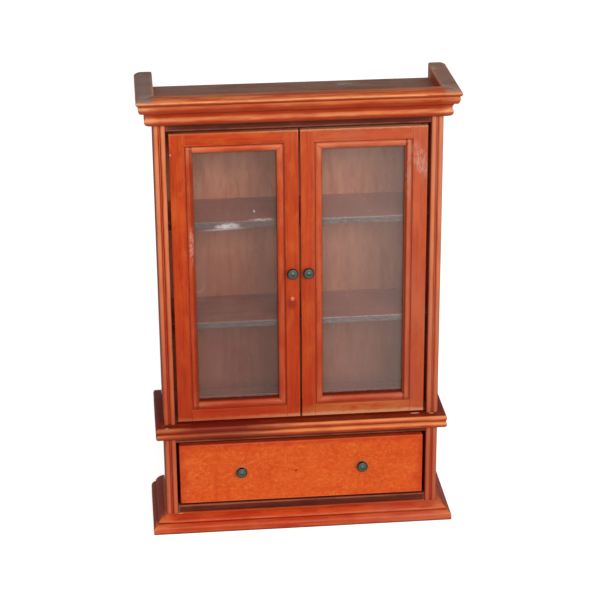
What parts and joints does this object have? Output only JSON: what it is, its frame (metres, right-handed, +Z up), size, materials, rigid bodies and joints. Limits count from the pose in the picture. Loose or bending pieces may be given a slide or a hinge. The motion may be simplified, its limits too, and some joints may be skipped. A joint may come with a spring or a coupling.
{
  "type": "miniature bookcase",
  "caption": "Dolls' house display bookcase in stained wood: stepped cornice, glazed doors on pivot pins over shelves, reeded posts, and a full-width drawer on a moulded plinth.",
  "frame": {"origin": "middle of the footprint's bounding box, on the surface that the plinth stands on", "axes": "+Z up, front with doors and drawer towards -Y, flat back towards +Y, +X to the right seen from the front"},
  "size_m": [0.1176, 0.039, 0.175],
  "materials": {
    "carcass_wood": "dark mahogany stain, thin satin lacquer",
    "moulding_wood": "red mahogany stain, satin lacquer, rubbed edges",
    "door_wood": "red mahogany stain, satin lacquer",
    "drawer_front_wood": "orange-red stained birch, satin lacquer",
    "drawer_box_wood": "thin unstained birch",
    "clear_acrylic": "clear acrylic sheet, slightly cloudy",
    "dark_metal": "dark pewter-like metal, worn shine on the face",
    "brass_wire": "plain wire"
  },
  "bodies": {
    "case": {"back_panel": "carcass_wood", "bottom_board": "carcass_wood", "cornice_front": "moulding_wood", "frieze_rail": "carcass_wood", "left_cornice_side": "moulding_wood", "left_lower_post": "moulding_wood", "left_plinth_side": "moulding_wood", "left_side_panel": "carcass_wood", "left_upper_post": "moulding_wood", "left_waist_side": "moulding_wood", "lower_shelf": "carcass_wood", "middle_board": "carcass_wood", "plinth_front": "moulding_wood", "plinth_rail": "carcass_wood", "right_cornice_side": "moulding_wood", "right_lower_post": "moulding_wood", "right_plinth_side": "moulding_wood", "right_side_panel": "carcass_wood", "right_upper_post": "moulding_wood", "right_waist_side": "moulding_wood", "top_board": "carcass_wood", "upper_shelf": "carcass_wood", "waist_front": "moulding_wood", "waist_rail": "carcass_wood"},
    "left_door": {"left_door_bottom_bead": "door_wood", "left_door_bottom_pin": "brass_wire", "left_door_bottom_rail": "door_wood", "left_door_hinge_bead": "door_wood", "left_door_hinge_stile": "door_wood", "left_door_knob": "dark_metal", "left_door_meeting_bead": "door_wood", "left_door_meeting_stile": "door_wood", "left_door_pane": "clear_acrylic", "left_door_top_bead": "door_wood", "left_door_top_pin": "brass_wire", "left_door_top_rail": "door_wood"},
    "right_door": {"right_door_bottom_bead": "door_wood", "right_door_bottom_pin": "brass_wire", "right_door_bottom_rail": "door_wood", "right_door_hinge_bead": "door_wood", "right_door_hinge_stile": "door_wood", "right_door_knob": "dark_metal", "right_door_meeting_bead": "door_wood", "right_door_meeting_stile": "door_wood", "right_door_pane": "clear_acrylic", "right_door_top_bead": "door_wood", "right_door_top_pin": "brass_wire", "right_door_top_rail": "door_wood"},
    "drawer": {"drawer_back": "drawer_box_wood", "drawer_bottom": "drawer_box_wood", "drawer_front": "drawer_front_wood", "left_drawer_knob": "dark_metal", "left_drawer_side": "drawer_box_wood", "right_drawer_knob": "dark_metal", "right_drawer_side": "drawer_box_wood"}
  },
  "joints": [
    {"name": "left_door_swing", "type": "hinge", "parent": "case", "child": "left_door", "pos_m": [-0.04585, -0.0111, 0.1], "axis": [0, 0, -1], "range_deg": [0, 105]},
    {"name": "right_door_swing", "type": "hinge", "parent": "case", "child": "right_door", "pos_m": [0.04585, -0.0111, 0.1], "axis": [0, 0, 1], "range_deg": [0, 105]},
    {"name": "drawer_slide", "type": "slide", "parent": "case", "child": "drawer", "axis": [0, -1, 0], "range_m": [0, 0.022]}
  ]
}
